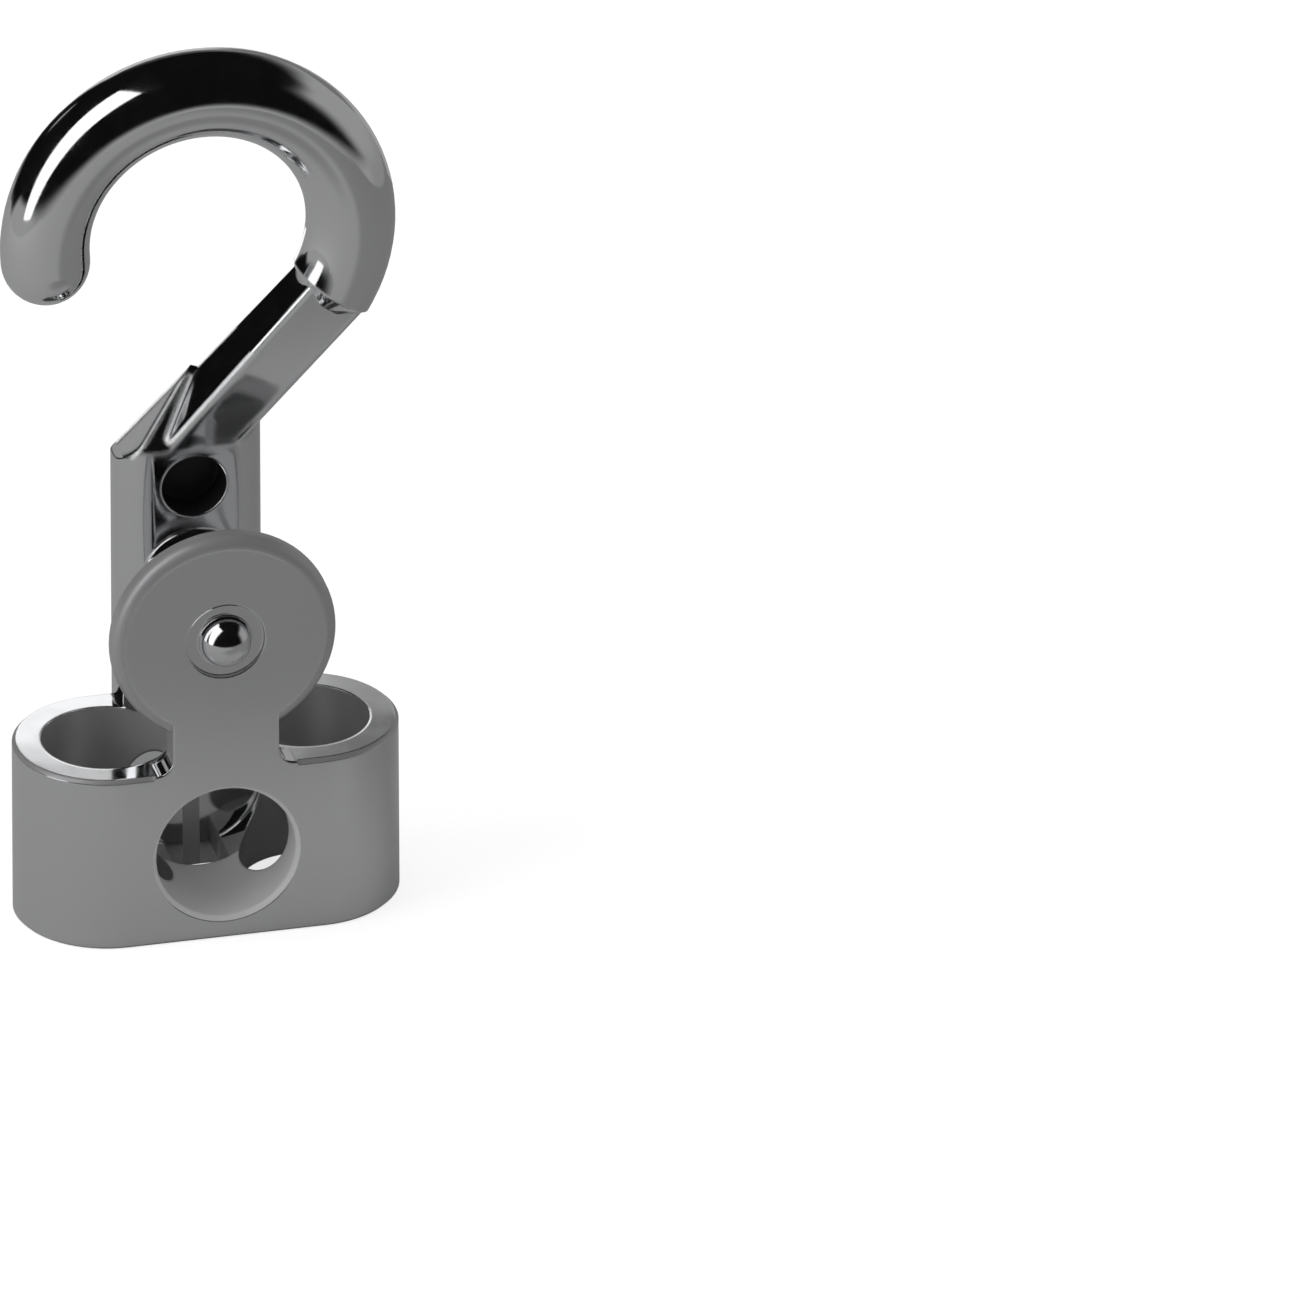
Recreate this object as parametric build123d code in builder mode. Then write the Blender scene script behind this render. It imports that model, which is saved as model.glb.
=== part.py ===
from build123d import *
import math
import os

# A die-cast hook for a rope: the rope runs up one channel of the sleeve,
# round the hub behind the cheek, and down the other channel.
# Millimetres. X runs across the sleeve, Y from front to back, Z up.
# The origin is the middle of the sleeve's bottom face.

# Sleeve
sleeve_width = 34.0
sleeve_depth = 16.4
sleeve_height = 16.5
wall_thickness = 2.5
rope_diameter = 8.0
rim_bevel = 0.3

# How far the neck and the shank reach down into the sleeve
root_depth = 1.5

# Round window in the sleeve's front wall, with the same wall left above and below it
window_wall = 2.05
window_bevel = 0.4

# Core pocket in the sleeve's underside, behind the web
core_pocket_side_wall = 0.6
core_pocket_front_y = 1.8

# Cheek and the neck that carries it
cheek_diameter = 20.0
cheek_front_rounding = 1.1
cheek_back_bevel = 0.7
neck_width = 9.4
neck_height = 2.6
neck_fillet = 1.5

# Dome in the middle of the cheek, with a shallow ring round it
dome_diameter = 4.7
ring_diameter = 7.0
ring_depth = 0.3

# Shank
shank_width = 13.0
shank_thickness = 4.5
shank_slope_foot = 41.9
shank_slope_top = 47.7
shank_right_height = 46.0
shoulder_cut_height = 46.96
shank_front_rounding = 3.0
shank_back_rounding = 0.4

# Round pocket in the shank's front
pocket_diameter = 5.8
pocket_height = 38.2
pocket_depth = 3.2

# Square bar that leans over from the shank to the hook
bar_angle = 54.6
bar_width = 5.8
bar_top_depth = 5.3
bar_foot_x = 0.75
bar_foot_depth = 6.5
bar_rounding = 0.7

# Round hook
hook_height = 64.2
hook_radius = 13.6
hook_bar_diameter = 7.8
hook_plane_y = 1.8
hook_tip_angle = 185.0
hook_start_bevel = 1.4

# Places that follow from the sizes above
front_y = -sleeve_depth / 2
back_y = sleeve_depth / 2
channel_spacing = sleeve_width - sleeve_depth
channel_diameter = sleeve_depth - 2 * wall_thickness
window_diameter = sleeve_height - 2 * window_wall
window_height = sleeve_height / 2
core_pocket_width = channel_spacing - channel_diameter - 2 * core_pocket_side_wall
cheek_height = sleeve_height + neck_height + cheek_diameter / 2
cheek_back_y = front_y + wall_thickness
wall_inner_y = back_y - wall_thickness
shank_front_y = back_y - shank_thickness
hub_diameter = channel_spacing - rope_diameter

# The hook's curve starts square to the bar
lean_x = math.cos(math.radians(bar_angle))
lean_z = math.sin(math.radians(bar_angle))
hook_start_angle = bar_angle - 90
hook_start = Plane(
    origin=(hook_radius * lean_z, hook_plane_y, hook_height - hook_radius * lean_x),
    x_dir=(lean_z, 0, -lean_x),
    z_dir=(lean_x, 0, lean_z),
)

# Sleeve: an oval block with flat front and back, its two rims bevelled
with BuildPart() as sleeve:
    with BuildSketch(Plane.XY):
        SlotOverall(sleeve_width, sleeve_depth)
    extrude(amount=sleeve_height)
    chamfer(sleeve.edges().group_by(Axis.Z)[-1], rim_bevel)
    chamfer(sleeve.edges().group_by(Axis.Z)[0], rim_bevel)

    # Round window from the front to the inside of the back wall
    with BuildSketch(Plane.XZ.offset(-front_y)):
        with Locations((0, window_height)):
            Circle(window_diameter / 2)
    extrude(amount=-(wall_inner_y - front_y), mode=Mode.SUBTRACT)
    window_edge = sleeve.edges().filter_by(GeomType.CIRCLE).sort_by(Axis.Y)[0]
    chamfer(window_edge, window_bevel)

# Cheek on its neck, flush with the sleeve's front
with BuildPart() as cheek:
    with BuildSketch(Plane.XZ.offset(-cheek_back_y)) as cheek_outline:
        with Locations((0, cheek_height)):
            Circle(cheek_diameter / 2)
        with Locations((0, sleeve_height)):
            Rectangle(neck_width, cheek_height - sleeve_height, align=(Align.CENTER, Align.MIN))
            Rectangle(
                neck_width + 2 * neck_fillet + 0.4,
                root_depth,
                align=(Align.CENTER, Align.MAX),
            )
        neck_corners = cheek_outline.vertices().filter_by(
            lambda corner: abs(corner.Y - sleeve_height) < 0.01 and abs(corner.X) < neck_width / 2 + 0.1
        )
        fillet(neck_corners, neck_fillet)
    extrude(amount=wall_thickness)
    round_edges = cheek.edges().filter_by(GeomType.CIRCLE).sort_by(SortBy.RADIUS)[-2:]
    fillet(round_edges.sort_by(Axis.Y)[0], cheek_front_rounding)
    chamfer(round_edges.sort_by(Axis.Y)[-1], cheek_back_bevel)

# Shank: a flat bar up the back whose upper left corner is cut at 45 degrees
with BuildPart() as shank:
    with BuildSketch(Plane.XZ.offset(-back_y)):
        with BuildLine():
            Polyline(
                (-shank_width / 2, sleeve_height - root_depth),
                (shank_width / 2, sleeve_height - root_depth),
                (shank_width / 2, shank_right_height),
                (shank_slope_top - shoulder_cut_height, shank_slope_top),
                (-shank_width / 2, shoulder_cut_height - shank_width / 2),
                close=True,
            )
        make_face()
    extrude(amount=shank_thickness)
    fillet(shank.edges().filter_by(Axis.Z).group_by(Axis.Y)[-1], shank_back_rounding)
    fillet(shank.edges().filter_by(Axis.Z).group_by(Axis.Y)[0], shank_front_rounding)

    # The shank's top thins to an edge at its back
    with BuildSketch(Plane.YZ):
        with BuildLine():
            Polyline(
                (shank_front_y, shank_slope_foot),
                (back_y, shank_slope_top),
                (back_y, shank_slope_top + 1),
                (shank_front_y - 1, shank_slope_top + 1),
                (shank_front_y - 1, shank_slope_foot),
                close=True,
            )
        make_face()
    extrude(amount=shank_width, both=True, mode=Mode.SUBTRACT)

# Square bar: its foot lies level on the shank, its top runs into the hook past the bevel
with BuildPart() as bar:
    with BuildSketch(Plane.XY.offset(shank_slope_foot)):
        with Locations((bar_foot_x, shank_front_y)):
            Rectangle(bar_width / lean_z, bar_foot_depth, align=(Align.CENTER, Align.MIN))
    with BuildSketch(hook_start.offset(hook_start_bevel)):
        Rectangle(bar_width, bar_top_depth)
    loft(ruled=True)
    long_edges = bar.edges().filter_by(lambda edge: edge.length > bar_foot_depth * 2)
    fillet(long_edges, bar_rounding)

    # The bar's back stays flush with the shank's back
    with BuildSketch(Plane.XZ.offset(-back_y)):
        with Locations((0, hook_height / 2)):
            Rectangle(sleeve_width, hook_height)
    extrude(amount=-sleeve_depth, mode=Mode.SUBTRACT)

# Round hook: its start is bevelled down to the square bar, its tip is a ball
with BuildPart() as curve:
    with BuildLine(Plane.XZ.offset(-hook_plane_y)) as hook_line:
        CenterArc((0, hook_height), hook_radius, hook_start_angle, hook_tip_angle - hook_start_angle)
    with BuildSketch(hook_start):
        Circle(hook_bar_diameter / 2)
    sweep(path=hook_line.line)
    start_edge = curve.faces().filter_by(GeomType.PLANE).sort_by(Axis.Z)[0].edges()
    chamfer(start_edge, hook_start_bevel)
    with Locations(Plane(origin=hook_line.line @ 1, z_dir=hook_line.line % 1)):
        Sphere(hook_bar_diameter / 2)

# The one casting
with BuildPart() as hook:
    add(sleeve.part)
    add(cheek.part)
    add(shank.part)
    add(bar.part)
    add(curve.part)

    # Hub between the cheek and the shank
    with BuildSketch(Plane.XZ.offset(-cheek_back_y)):
        with Locations((0, cheek_height)):
            Circle(hub_diameter / 2)
    extrude(amount=-(shank_front_y - cheek_back_y))

    # Round pocket in the shank
    with BuildSketch(Plane.XZ.offset(-shank_front_y)):
        with Locations((0, pocket_height)):
            Circle(pocket_diameter / 2)
    extrude(amount=-pocket_depth, mode=Mode.SUBTRACT)

    # Two rope channels through the sleeve
    with BuildSketch(Plane.XY):
        with GridLocations(channel_spacing, 0, 2, 1):
            Circle(channel_diameter / 2)
    extrude(amount=sleeve_height, mode=Mode.SUBTRACT)

    # Core pocket behind the web, open below and into the window
    with BuildSketch(Plane.XY):
        with Locations((0, core_pocket_front_y)):
            Rectangle(
                core_pocket_width,
                wall_inner_y - core_pocket_front_y,
                align=(Align.CENTER, Align.MIN),
            )
    extrude(amount=window_height, mode=Mode.SUBTRACT)

    # Ring and dome on the cheek
    with BuildSketch(Plane.XZ.offset(-front_y)):
        with Locations((0, cheek_height)):
            Circle(ring_diameter / 2)
    extrude(amount=-ring_depth, mode=Mode.SUBTRACT)
    with Locations((0, front_y + ring_depth, cheek_height)):
        Sphere(dome_diameter / 2)

hook.part.label = "hook"

os.makedirs("parts", exist_ok=True)
export_step(hook.part, "parts/hook.step")
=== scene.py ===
# %% [markdown]
# # A chrome rope hook
#
# This lesson dresses one small casting: a hook for a rope, cast in zinc and plated with chrome.
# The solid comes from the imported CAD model, which is loaded as a fixed frame.
# Every size below is in metres, in the frame that the CAD model uses:
# X across the sleeve, Y from the cheek at the front to the shank at the back, Z up.

import math

import bmesh
import bpy
from mathutils import Matrix, Vector

MM = 0.001

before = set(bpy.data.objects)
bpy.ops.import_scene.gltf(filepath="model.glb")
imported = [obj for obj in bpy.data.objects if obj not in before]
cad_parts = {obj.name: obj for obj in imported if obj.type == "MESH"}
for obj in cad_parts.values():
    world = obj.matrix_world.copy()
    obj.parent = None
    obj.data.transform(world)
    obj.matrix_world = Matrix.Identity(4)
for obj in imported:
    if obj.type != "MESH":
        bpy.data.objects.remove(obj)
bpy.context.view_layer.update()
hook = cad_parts["hook"]

# %% [markdown]
# ## Helpers for node trees
#
# A material is a tree of nodes. Short helpers keep the cells below readable:
# one adds a node and fills in its sockets, a few work with numbers, one makes a group
# with named sockets, and one starts a material.

# %% Node helpers
def add_node(tree, kind, inputs=None, **settings):
    """Adds a node, sets its options, and fills or links its input sockets by name or place."""
    node = tree.nodes.new(kind)
    for name, value in settings.items():
        setattr(node, name, value)
    for name, value in (inputs or {}).items():
        socket = node.inputs[name]
        if isinstance(value, bpy.types.NodeSocket):
            tree.links.new(value, socket)
        else:
            socket.default_value = value
    return node


def combine(tree, operation, first, *others):
    """Sums, multiplies or compares values or sockets, from the first to the last."""
    total = first
    for other in others:
        inputs = {0: total, 1: other}
        total = add_node(tree, "ShaderNodeMath", inputs, operation=operation).outputs[0]
    return total


def ramp(tree, value, low, high, start=0.0, end=1.0):
    """Runs smoothly from start to end while the value runs from low to high."""
    node = add_node(
        tree,
        "ShaderNodeMapRange",
        {"Value": value, 1: low, 2: high, 3: start, 4: end},
        interpolation_type="SMOOTHSTEP",
    )
    return node.outputs["Result"]


def between(tree, value, low, high):
    """One while the value lies between low and high, nought elsewhere."""
    above = combine(tree, "GREATER_THAN", value, low)
    below = combine(tree, "LESS_THAN", value, high)
    return combine(tree, "MULTIPLY", above, below)


def split(tree, vector):
    """The X, Y and Z of a vector socket."""
    parts = add_node(tree, "ShaderNodeSeparateXYZ", {"Vector": vector})
    return [parts.outputs[axis] for axis in "XYZ"]


def new_group(name, inputs, outputs):
    """An empty node group with named sockets. Returns its tree, input node and output node."""
    tree = bpy.data.node_groups.new(name, "ShaderNodeTree")
    for label, value in inputs:
        socket = tree.interface.new_socket(label, in_out="INPUT", socket_type="NodeSocketFloat")
        socket.default_value = value
    for label in outputs:
        tree.interface.new_socket(label, in_out="OUTPUT", socket_type="NodeSocketFloat")
    return tree, tree.nodes.new("NodeGroupInput"), tree.nodes.new("NodeGroupOutput")


def new_material(name):
    """A material with an empty tree. Returns the material, its tree and its output node."""
    material = bpy.data.materials.new(name)
    material.use_nodes = True
    material.node_tree.nodes.clear()
    return material, material.node_tree, material.node_tree.nodes.new("ShaderNodeOutputMaterial")


print("helpers ready")

# %% [markdown]
# ## Hand polish
#
# Chrome is a mirror, so its own colour says little, and what it reflects says nearly all.
# A cast part is polished by hand before it is plated. That leaves the metal gently wavy, so
# straight reflections bend a little, and it leaves a haze of hairlines that an eye only just sees.
# Both are noises on Object coordinates, which stay on the metal from every side.

# %% Hand polish as a group
HAIRLINE_TURN = (0.0, 0.5, 0.0)
HAIRLINE_STRETCH = (1.0, 0.3, 0.06)
HAZE_LOW = 0.3
HAZE_HIGH = 0.7


def make_polish_group():
    """Waves and hairlines left by polishing, as two heights, and a cloudy haze."""
    tree, given, result = new_group(
        "Hand polish",
        [("Wave Size", 150.0), ("Hairline Size", 2600.0), ("Haze Size", 380.0)],
        ["Waves", "Hairlines", "Haze"],
    )
    place = add_node(tree, "ShaderNodeTexCoord").outputs["Object"]
    stretched = add_node(
        tree,
        "ShaderNodeMapping",
        {"Vector": place, "Rotation": HAIRLINE_TURN, "Scale": HAIRLINE_STRETCH},
    ).outputs["Vector"]

    def noise(vector, size, **shape):
        inputs = {"Vector": vector, "Scale": given.outputs[size], **shape}
        return add_node(tree, "ShaderNodeTexNoise", inputs).outputs["Fac"]

    waves = noise(place, "Wave Size", Detail=1.0, Roughness=0.35)
    hairlines = noise(stretched, "Hairline Size", Detail=2.0)
    haze = noise(place, "Haze Size", Detail=4.0, Roughness=0.6)
    tree.links.new(waves, result.inputs["Waves"])
    tree.links.new(hairlines, result.inputs["Hairlines"])
    tree.links.new(ramp(tree, haze, HAZE_LOW, HAZE_HIGH), result.inputs["Haze"])
    return tree


polish_group = make_polish_group()
print("group", polish_group.name, "gives", [s.name for s in polish_group.interface.items_tree])

# %% [markdown]
# ## Where no polishing wheel reaches
#
# The walls of the rope channels are as cast, and little light finds them. The pocket in the shank
# is painted near black: painted shade for the shadow that fills it. The window's own wall is
# painted a near-white matte colour: painted light that makes its shaded wall look lit. The ring
# round the dome, the cheek's rim and the narrow bevels are satin, because a wheel skips them.
# None of these masks needs an image. A group measures how far a point lies from the axis of a
# round bore, and comparisons with the bore's radius and depth do the rest.

# %% Masks for bores and bevels
SKIN = 0.05 * MM
CHANNEL_SPACING = 17.6 * MM
CHANNEL_RADIUS = 5.7 * MM
SLEEVE_HEIGHT = 16.5 * MM
WINDOW_RADIUS = 6.2 * MM
WINDOW_REACH = WINDOW_RADIUS + 10 * SKIN
WINDOW_HEIGHT = 8.25 * MM
POCKET_RADIUS = 2.9 * MM
POCKET_HEIGHT = 38.2 * MM
POCKET_FRONT = 3.7 * MM
RING_RADIUS = 3.5 * MM
CHEEK_HEIGHT = 29.1 * MM
CHEEK_RADIUS = 10.0 * MM
CHEEK_BACK = -5.7 * MM
RIM_START = CHEEK_RADIUS - 24 * SKIN
RIM_FULL = CHEEK_RADIUS - 18 * SKIN
RIM_FOOT = SLEEVE_HEIGHT + 20 * SKIN
FRONT_FACE = -8.2 * MM
CORE_FRONT = 1.8 * MM
BACK_FACE = 8.2 * MM
NEAR_BACK = BACK_FACE - 10 * SKIN
BEVEL_FOOT = SLEEVE_HEIGHT - 10 * SKIN
BEVEL_LEAN_LOW = 0.6
BEVEL_LEAN_HIGH = 0.8


def make_bore_group():
    """The distance from an upright axis (Upright = 1) or from one that runs to the back (0)."""
    tree, given, result = new_group(
        "Distance from an axis",
        [("Middle X", 0.0), ("Middle Z", 0.0), ("Upright", 1.0)],
        ["Distance"],
    )
    x, y, z = split(tree, add_node(tree, "ShaderNodeTexCoord").outputs["Object"])
    across = combine(tree, "SUBTRACT", x, given.outputs["Middle X"])
    depth = combine(tree, "MULTIPLY", y, given.outputs["Upright"])
    level = combine(tree, "SUBTRACT", 1.0, given.outputs["Upright"])
    risen = combine(tree, "SUBTRACT", z, given.outputs["Middle Z"])
    height = combine(tree, "MULTIPLY", risen, level)
    joined = add_node(tree, "ShaderNodeCombineXYZ", {"X": across, "Y": depth, "Z": height})
    reach = add_node(tree, "ShaderNodeVectorMath", {0: joined.outputs[0]}, operation="LENGTH")
    tree.links.new(reach.outputs["Value"], result.inputs["Distance"])
    return tree


def distance(tree, middle_x, middle_z, upright):
    """A point's distance from the axis of one bore."""
    inputs = {"Middle X": middle_x, "Middle Z": middle_z, "Upright": upright}
    return add_node(tree, "ShaderNodeGroup", inputs, node_tree=bore_group).outputs["Distance"]


def mask_as_cast(tree, y, z):
    """The two channels and the hollow between them."""
    left, middle, right_side = (
        distance(tree, x, 0.0, 1.0) for x in (-CHANNEL_SPACING / 2, 0.0, CHANNEL_SPACING / 2)
    )
    nearest = combine(tree, "MINIMUM", left, right_side)
    channels = combine(tree, "LESS_THAN", nearest, CHANNEL_RADIUS + SKIN)
    near_middle = combine(tree, "LESS_THAN", middle, CHANNEL_RADIUS + SKIN)
    behind_web = between(tree, y, CORE_FRONT - SKIN, NEAR_BACK)
    core = combine(tree, "MULTIPLY", near_middle, behind_web)
    sleeve = combine(tree, "MAXIMUM", channels, core)
    return combine(tree, "MULTIPLY", sleeve, between(tree, z, SKIN / 2, SLEEVE_HEIGHT - SKIN / 2))


def mask_pocket_painted_shade(tree, y):
    """The pocket in the shank, which is painted near black as painted shade."""
    from_pocket = distance(tree, 0.0, POCKET_HEIGHT, 0.0)
    pocket_shade = combine(tree, "LESS_THAN", from_pocket, POCKET_RADIUS + SKIN)
    return combine(tree, "MULTIPLY", pocket_shade, between(tree, y, POCKET_FRONT + SKIN, NEAR_BACK))


def mask_window_painted_light(tree, y):
    """The window's own wall, through the front wall and the web, painted near white as painted light.
    """
    from_window = distance(tree, 0.0, WINDOW_HEIGHT, 0.0)
    window_painted_light = combine(tree, "LESS_THAN", from_window, WINDOW_REACH)
    return combine(tree, "MULTIPLY", window_painted_light, between(tree, y, FRONT_FACE + SKIN / 2, CORE_FRONT))


def mask_satin(tree, y, z):
    """The ring's wall, the cheek's round rim and the narrow bevels of the sleeve."""
    from_cheek = distance(tree, 0.0, CHEEK_HEIGHT, 0.0)
    ring = between(tree, from_cheek, RING_RADIUS - SKIN, RING_RADIUS + SKIN)
    ring = combine(tree, "MULTIPLY", ring, between(tree, y, FRONT_FACE + SKIN / 5, 0.0))
    rim = combine(
        tree,
        "MULTIPLY",
        ramp(tree, from_cheek, RIM_START, RIM_FULL),
        between(tree, y, FRONT_FACE, CHEEK_BACK + SKIN),
        combine(tree, "GREATER_THAN", z, RIM_FOOT),
    )
    facing = add_node(tree, "ShaderNodeNewGeometry").outputs["True Normal"]
    lean = split(tree, facing)[2]
    bevels = between(tree, lean, BEVEL_LEAN_LOW, BEVEL_LEAN_HIGH)
    bevels = combine(tree, "MULTIPLY", bevels, between(tree, z, BEVEL_FOOT, SLEEVE_HEIGHT))
    return combine(tree, "MAXIMUM", ring, rim, bevels)


bore_group = make_bore_group()
print("radius of channel", CHANNEL_RADIUS / MM, "and of window", WINDOW_RADIUS / MM, "mm")

# %% [markdown]
# ## The plating
#
# The Principled shader with Metallic at one is a mirror in the plate's own pale, slightly cool
# grey. Real edges are never quite sharp, so the Bevel node rounds the shading over every edge
# by a hair, and by more at the shoulder, where the bar meets the shank. Each rounded edge
# can catch the lamp. The polish group then bends the reflections through two bumps,
# and the haze makes the mirror a little rougher in places.
# As-cast and satin places give part of the mirror up for plain scattered light,
# and the window's wall gives it up altogether for a near-white matte colour, which is painted light.
# The pocket's near-black colour is painted shade.

# %% Chrome plate
EDGE_ROUNDING = 0.35 * MM
SHOULDER_ROUNDING = 1.1 * MM
SHOULDER_FOOT = 41.0 * MM
SHOULDER_TOP = 52.0 * MM
BEVEL_SAMPLES = 8
PLATE = (0.80, 0.805, 0.815, 1)
SATIN = (0.52, 0.52, 0.53, 1)
# Painted light: the window's wall is near white, so that its shaded wall shows light
WINDOW_WALL_PAINTED_LIGHT = (0.98, 0.98, 0.98, 1)
AS_CAST = (0.52, 0.52, 0.525, 1)
# Painted shade: the pocket in the shank is near black, for the shadow in it
POCKET_PAINTED_SHADE = (0.03, 0.03, 0.03, 1)
DULL_METALLIC = 0.3
DULL_ROUGHNESS = 0.3
CLEAR_ROUGHNESS = 0.06
HAZY_ROUGHNESS = 0.11
WAVE_STRENGTH = 0.1
WAVE_DEPTH = 0.4 * MM
HAIRLINE_STRENGTH = 0.04
HAIRLINE_DEPTH = 0.02 * MM


def tint(tree, share, first, second):
    """Goes from one colour to the other by a mask. The Mix node's colours are sockets 6 and 7."""
    inputs = {"Factor": share, 6: first, 7: second}
    return add_node(tree, "ShaderNodeMix", inputs, data_type="RGBA").outputs[2]


def bump(tree, height, strength, depth, normal):
    """A normal bent by a height."""
    inputs = {"Height": height, "Strength": strength, "Distance": depth, "Normal": normal}
    return add_node(tree, "ShaderNodeBump", inputs).outputs["Normal"]


def make_chrome():
    """Polished chrome plate, as cast in the bores and satin on narrow bevels, with painted shade in
    the pocket and painted light on the window's wall.
    """
    material, tree, output = new_material("Chrome plate")
    polish = add_node(tree, "ShaderNodeGroup", node_tree=polish_group)
    _, y, z = split(tree, add_node(tree, "ShaderNodeTexCoord").outputs["Object"])
    cast = mask_as_cast(tree, y, z)
    pocket_shade = mask_pocket_painted_shade(tree, y)
    satin = mask_satin(tree, y, z)
    window_painted_light = mask_window_painted_light(tree, y)

    # The pocket's near-black colour is painted shade and the window wall's near-white colour is
    # painted light
    colour = PLATE
    for mask, other in ((satin, SATIN), (window_painted_light, WINDOW_WALL_PAINTED_LIGHT), (cast, AS_CAST), (pocket_shade, POCKET_PAINTED_SHADE)):
        colour = tint(tree, mask, colour, other)
    dull = combine(tree, "MAXIMUM", cast, pocket_shade, satin, window_painted_light)
    metallic = ramp(tree, dull, 0.0, 1.0, 1.0, DULL_METALLIC)
    lost = combine(tree, "MULTIPLY", window_painted_light, DULL_METALLIC)
    metallic = combine(tree, "SUBTRACT", metallic, lost)
    haze = ramp(tree, polish.outputs["Haze"], 0.0, 1.0, CLEAR_ROUGHNESS, HAZY_ROUGHNESS)
    rough = combine(tree, "ADD", haze, combine(tree, "MULTIPLY", dull, DULL_ROUGHNESS))

    at_shoulder = between(tree, z, SHOULDER_FOOT, SHOULDER_TOP)
    rounding = ramp(tree, at_shoulder, 0.0, 1.0, EDGE_ROUNDING, SHOULDER_ROUNDING)
    edges = add_node(tree, "ShaderNodeBevel", {"Radius": rounding}, samples=BEVEL_SAMPLES)
    normal = edges.outputs["Normal"]
    normal = bump(tree, polish.outputs["Waves"], WAVE_STRENGTH, WAVE_DEPTH, normal)
    normal = bump(tree, polish.outputs["Hairlines"], HAIRLINE_STRENGTH, HAIRLINE_DEPTH, normal)
    shader = add_node(
        tree,
        "ShaderNodeBsdfPrincipled",
        {"Base Color": colour, "Metallic": metallic, "Roughness": rough, "Normal": normal},
    )
    tree.links.new(shader.outputs["BSDF"], output.inputs["Surface"])
    return material


chrome = make_chrome()
for slot in range(len(hook.data.materials)):
    hook.data.materials[slot] = chrome
print("material", chrome.name, "on", hook.name)

# %% [markdown]
# ## The table
#
# The hook stands on a plain white sheet. Its paint is an ordinary matte white that takes
# the hook's shadow. For the camera alone a little light of its own is added, which lifts
# the lit sheet to white. In the mirror of the metal the sheet's colour is painted a shade darker
# in front of the cheek and on the right, away from the lamp: painted shade that only reflections
# show.
# The sheet lies a hair under the sleeve's foot, so that the two never share a plane.

# %% Table
TABLE_HALF = 0.25
TABLE_GAP = 0.03 * MM
TABLE_LIFT = 0.75
PAPER = 0.8
# Painted shade in the sheet's reflected colour: a darker spot in front of the cheek and a darker
# right side
SHADE_DIP_PLACE = (0.014, -0.068, 0.0)
SHADE_DIP_START = 0.01
SHADE_DIP_RADIUS = 0.045
SHADE_DIP_LEVEL = 0.56
RIGHT_SHADE_START = 0.02
RIGHT_SHADE_END = 0.05
RIGHT_SHADE_SHARE = 0.72


def make_table():
    """A wide sheet under the hook, seen as white."""
    mesh = bpy.data.meshes.new("table")
    sheet = bmesh.new()
    bmesh.ops.create_grid(sheet, x_segments=1, y_segments=1, size=TABLE_HALF)
    sheet.to_mesh(mesh)
    sheet.free()
    table = bpy.data.objects.new("table", mesh)
    table.location.z = -TABLE_GAP
    bpy.context.scene.collection.objects.link(table)

    material, tree, output = new_material("White sheet")
    place = add_node(tree, "ShaderNodeTexCoord").outputs["Object"]
    path = add_node(tree, "ShaderNodeLightPath").outputs
    # Painted shade: for reflections the sheet's colour is darker round a spot in front of the cheek
    # and towards the right
    ends = {0: place, 1: SHADE_DIP_PLACE}
    from_shade_dip = add_node(tree, "ShaderNodeVectorMath", ends, operation="DISTANCE").outputs["Value"]
    painted_shade_dip = ramp(tree, from_shade_dip, SHADE_DIP_START, SHADE_DIP_RADIUS, SHADE_DIP_LEVEL, PAPER)
    across = split(tree, place)[0]
    painted_shade_right = ramp(tree, across, RIGHT_SHADE_START, RIGHT_SHADE_END, 1.0, RIGHT_SHADE_SHARE)
    mirrored = combine(tree, "MULTIPLY", painted_shade_dip, painted_shade_right)
    tone = ramp(tree, path["Is Glossy Ray"], 0.0, 1.0, PAPER, mirrored)
    matte = add_node(tree, "ShaderNodeBsdfDiffuse", {"Color": tone})
    glow = combine(tree, "MULTIPLY", path["Is Camera Ray"], TABLE_LIFT)
    lift = add_node(tree, "ShaderNodeEmission", {"Strength": glow})
    both = add_node(tree, "ShaderNodeAddShader", {0: matte.outputs[0], 1: lift.outputs[0]})
    tree.links.new(both.outputs[0], output.inputs["Surface"])
    mesh.materials.append(material)
    return table


table = make_table()
print("table", table.name, "side", 2 * TABLE_HALF, "m")

# %% [markdown]
# ## The room in the mirror
#
# A chrome part looks like the room around it. In the photograph the room is dark above and
# in front, the sheet under the hook shows as a plain grey, a grey wall stands at the right
# and fades towards the back, and one soft lamp hangs at the left.
# The world gives every kind of ray its share: white for the camera, an even pale light for matte
# surfaces, and for reflections this room. The room is worked out from two numbers of the ray's
# direction: the turn round the hook, nought at the front and a quarter turn at the right,
# and the height, which is the Z of the direction.

# %% World
GREY = 0.34
DARK = 0.004
EVEN_LIGHT = 0.3
WALL_TOP = 0.4
WALL_TOP_LOSS = 0.5
WALL_FADE = 0.27
WALL_SOFTER = 1.6
SHEET_FADE_START = -0.1
SHEET_FADE_END = 0.02
EARLY_START_LOSS = 0.22
EARLY_END_LOSS = 0.14
LOW_START = -0.2
LOW_END = 0.08
PANEL_WAY = Vector((-0.469, 0.861, 0.23)).normalized()
PANEL_EDGE = math.cos(math.radians(7))
PANEL_FULL = math.cos(math.radians(3))


def by_turn(tree, turn, low, high, start=0.0, end=1.0):
    """A ramp over a turn, whose ends are given in degrees."""
    return ramp(tree, turn, math.radians(low), math.radians(high), start, end)


def less(tree, value, share, amount):
    """A value, less a share of an amount."""
    return combine(tree, "SUBTRACT", value, combine(tree, "MULTIPLY", share, amount))


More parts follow.
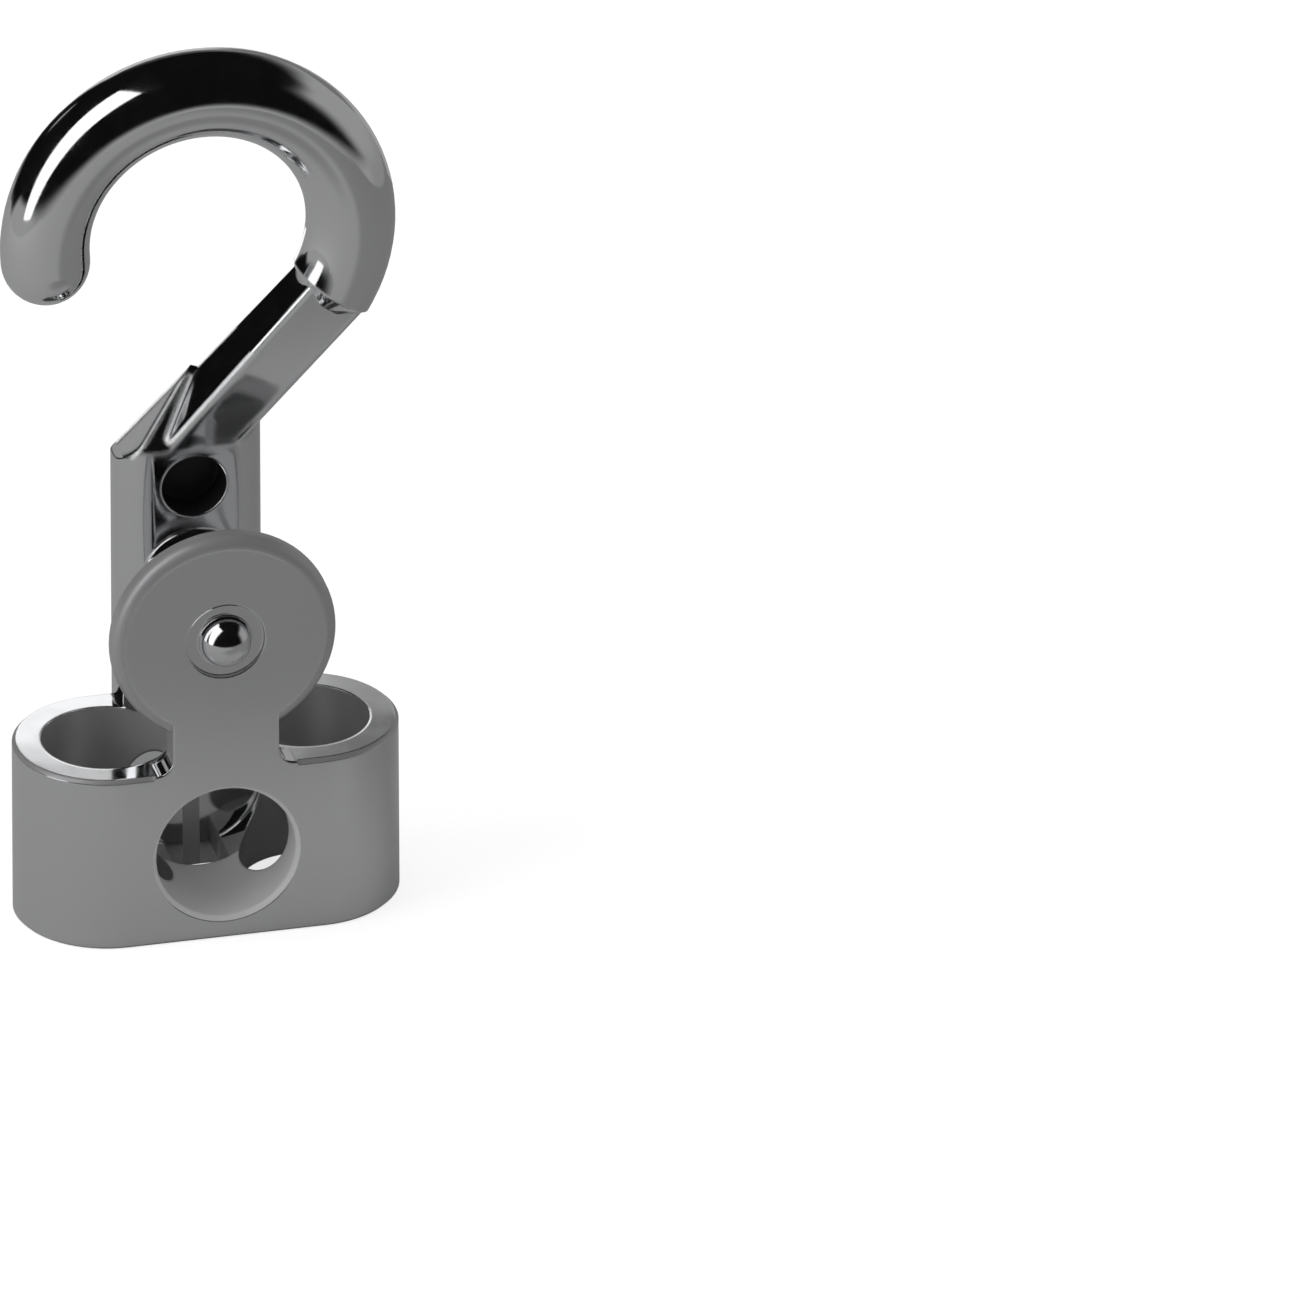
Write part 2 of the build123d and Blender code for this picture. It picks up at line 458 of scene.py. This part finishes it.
def make_room(tree):
    """How light the room is in the direction of a reflected ray."""
    way = add_node(tree, "ShaderNodeTexCoord").outputs["Generated"]
    x, y, height = split(tree, way)
    turn = combine(tree, "ARCTAN2", x, combine(tree, "MULTIPLY", y, -1.0))
    left_turn = combine(tree, "MULTIPLY", turn, -1.0)
    off_front = combine(tree, "ABSOLUTE", turn, 0.0)

    # The wall at the right reaches high, and gets lower and softer behind the hook
    right_wall = by_turn(tree, turn, 48, 82)
    wall = combine(tree, "MAXIMUM", right_wall, by_turn(tree, left_turn, 163, 185))
    behind = by_turn(tree, off_front, 105, 160)
    over_top = combine(tree, "SUBTRACT", height, less(tree, WALL_TOP, behind, WALL_TOP_LOSS))
    softer = combine(tree, "ADD", 1.0, combine(tree, "MULTIPLY", behind, WALL_SOFTER))
    fallen = combine(tree, "DIVIDE", over_top, WALL_FADE, softer)
    wall = combine(tree, "MULTIPLY", wall, ramp(tree, fallen, 0.0, 1.0, 1.0, 0.0))

    # The sheet fades early into the dark at the front and at the left behind, and late elsewhere
    front = by_turn(tree, off_front, 40, 85, 1.0, 0.0)
    left_back = by_turn(tree, left_turn, 108, 130)
    left_back = combine(tree, "MULTIPLY", left_back, by_turn(tree, left_turn, 170, 180, 1.0, 0.0))
    early = combine(tree, "MAXIMUM", front, left_back)
    sheet_start = less(tree, SHEET_FADE_START, early, EARLY_START_LOSS)
    sheet_end = less(tree, SHEET_FADE_END, left_back, EARLY_END_LOSS)
    along = combine(tree, "SUBTRACT", height, sheet_start)
    span = combine(tree, "SUBTRACT", sheet_end, sheet_start)
    sheet = ramp(tree, combine(tree, "DIVIDE", along, span), 0.0, 1.0, 1.0, 0.0)

    # A small pale panel stands behind the hook at the left
    ends = {0: way, 1: PANEL_WAY}
    nearness = add_node(tree, "ShaderNodeVectorMath", ends, operation="DOT_PRODUCT")
    panel = ramp(tree, nearness.outputs["Value"], PANEL_EDGE, PANEL_FULL)
    light = combine(tree, "MAXIMUM", wall, panel, sheet)

    # Low down at the right the room is as dim as the sheet there
    near_back = by_turn(tree, turn, 150, 178, 1.0, 0.0)
    low = ramp(tree, height, LOW_START, LOW_END, 1.0 - RIGHT_SHADE_SHARE, 0.0)
    dim = combine(tree, "MULTIPLY", right_wall, near_back, low)
    light = combine(tree, "MULTIPLY", light, combine(tree, "SUBTRACT", 1.0, dim))
    return ramp(tree, light, 0.0, 1.0, DARK, GREY)


def make_world():
    """White to the camera, even light on matte things, and the room in reflections."""
    world = bpy.data.worlds.new("studio")
    world.use_nodes = True
    tree = world.node_tree
    tree.nodes.clear()
    output = tree.nodes.new("ShaderNodeOutputWorld")
    plain = (1, 1, 1, 1)
    room, even, white = (
        add_node(tree, "ShaderNodeBackground", {"Color": plain, "Strength": level}).outputs[0]
        for level in (make_room(tree), EVEN_LIGHT, 1.0)
    )
    path = add_node(tree, "ShaderNodeLightPath").outputs
    mirrored = {0: path["Is Glossy Ray"], 1: even, 2: room}
    unseen = add_node(tree, "ShaderNodeMixShader", mirrored).outputs[0]
    seen = {0: path["Is Camera Ray"], 1: unseen, 2: white}
    light = add_node(tree, "ShaderNodeMixShader", seen).outputs[0]
    tree.links.new(light, output.inputs["Surface"])
    return world


bpy.context.scene.world = make_world()
print("world", bpy.context.scene.world.name)

# %% [markdown]
# ## Lamp and cards
#
# The lamp is a broad soft one at the left. The metal shows its face as the white streak
# on the hook's shoulder. The face is a card of its own, wider at the top than at the foot,
# which only reflections show: an area lamp in its place gives the same light to matte things,
# such as the sheet with the hook's shadow.
# A low white card stands behind the sleeve and lights the flat tops of the sleeve's rims,
# more at its left end than at its right.

# %% Lamp and cards
AIM = Vector((0.0, 0.0, 0.045))
LAMP_DISTANCE = 0.6
LAMP_SIZE = 0.4
LAMP_LEVEL = 1.4
LAMP_WAY = (-80, 32)
FACE_WAYS = [(-83, -6), (-64, -6), (-36, 63), (-112, 63)]
RIM_CARD = [(-0.02, 0.09, 0.02), (0.12, 0.09, 0.02), (0.12, 0.09, 0.1), (-0.02, 0.09, 0.1)]
RIM_CARD_LEFT = 1.15
RIM_CARD_RIGHT = 0.36
RIM_CARD_TOP = 0.5
CARD_MIDDLE = (0.018, 0.034)
CARD_TOP = (0.064, 0.068)


def towards(turn, height):
    """The direction at a turn from the front (right is positive) and a height, in degrees."""
    turn, height = math.radians(turn), math.radians(height)
    flat = math.cos(height)
    return Vector((flat * math.sin(turn), -flat * math.cos(turn), math.sin(height)))


def make_card(name, corners, left, right_side, top):
    """A glowing card that only reflections show, with a level for its left, its right and its top."""
    mesh = bpy.data.meshes.new(name)
    face = bmesh.new()
    face.faces.new([face.verts.new(corner) for corner in corners])
    face.to_mesh(mesh)
    face.free()
    card = bpy.data.objects.new(name, mesh)
    material, tree, output = new_material(name)
    x, _, z = split(tree, add_node(tree, "ShaderNodeTexCoord").outputs["Object"])
    level = ramp(tree, x, *CARD_MIDDLE, left, right_side)
    level = combine(tree, "MULTIPLY", level, ramp(tree, z, *CARD_TOP, 1.0, top))
    glow = add_node(tree, "ShaderNodeEmission", {"Strength": level})
    tree.links.new(glow.outputs[0], output.inputs["Surface"])
    mesh.materials.append(material)
    card.visible_camera = False
    card.visible_diffuse = False
    card.visible_shadow = False
    bpy.context.scene.collection.objects.link(card)
    return card


def hang_lamp(name, way, size, level):
    """A soft square lamp that looks at the hook from a direction, and that no reflection shows."""
    data = bpy.data.lights.new(name, "AREA")
    data.size = size
    data.energy = level * math.pi * size * size
    lamp = bpy.data.objects.new(name, data)
    turned = way.to_track_quat("Z", "Y").to_matrix().to_4x4()
    lamp.matrix_world = Matrix.Translation(AIM + way * LAMP_DISTANCE) @ turned
    lamp.visible_glossy = False
    bpy.context.scene.collection.objects.link(lamp)
    return lamp


face_corners = [AIM + towards(*way) * LAMP_DISTANCE for way in FACE_WAYS]
lamp_face = make_card("lamp face", face_corners, LAMP_LEVEL, LAMP_LEVEL, 1.0)
lamp = hang_lamp("soft lamp", towards(*LAMP_WAY), LAMP_SIZE, LAMP_LEVEL)
rim_card = make_card("rim card", RIM_CARD, RIM_CARD_LEFT, RIM_CARD_RIGHT, RIM_CARD_TOP)
print("lamp", lamp.name, "cards", lamp_face.name, "and", rim_card.name)

# %% [markdown]
# ## The camera
#
# The photograph is taken from far away with a long lens, so edges that run side by side in life
# stay side by side in it. An orthographic camera gives just that.
# Two unit directions, right and forward, say how it is turned, and the pixel where the middle
# of the sleeve's foot falls says where it stands.

# %% Camera
PHOTO_SIDE = 1300
FOOT_PIXEL = (206.1, 894.6)
PIXELS_PER_METRE = 11539.0
CAMERA_RIGHT = Vector((0.9743, -0.2254, -0.0052))
CAMERA_FORWARD = Vector((0.1966, 0.8606, -0.4699))
CAMERA_DISTANCE = 0.6

forward = CAMERA_FORWARD.normalized()
right = (CAMERA_RIGHT - CAMERA_RIGHT.dot(forward) * forward).normalized()
up = right.cross(forward)
across = (PHOTO_SIDE / 2 - FOOT_PIXEL[0]) / PIXELS_PER_METRE
upward = (FOOT_PIXEL[1] - PHOTO_SIDE / 2) / PIXELS_PER_METRE
stand = right * across + up * upward - forward * CAMERA_DISTANCE
camera_data = bpy.data.cameras.new("camera")
camera_data.type = "ORTHO"
camera_data.ortho_scale = PHOTO_SIDE / PIXELS_PER_METRE
camera = bpy.data.objects.new("camera", camera_data)
turned = Matrix((right, up, -forward)).transposed().to_4x4()
camera.matrix_world = Matrix.Translation(stand) @ turned
bpy.context.scene.collection.objects.link(camera)
bpy.context.scene.camera = camera
print("the picture is", round(camera_data.ortho_scale / MM, 1), "mm wide")

# %% [markdown]
# ## The last look
#
# The view transform is Standard, so a white sheet comes out white.

# %% Close the lesson
bpy.context.scene.view_settings.view_transform = "Standard"
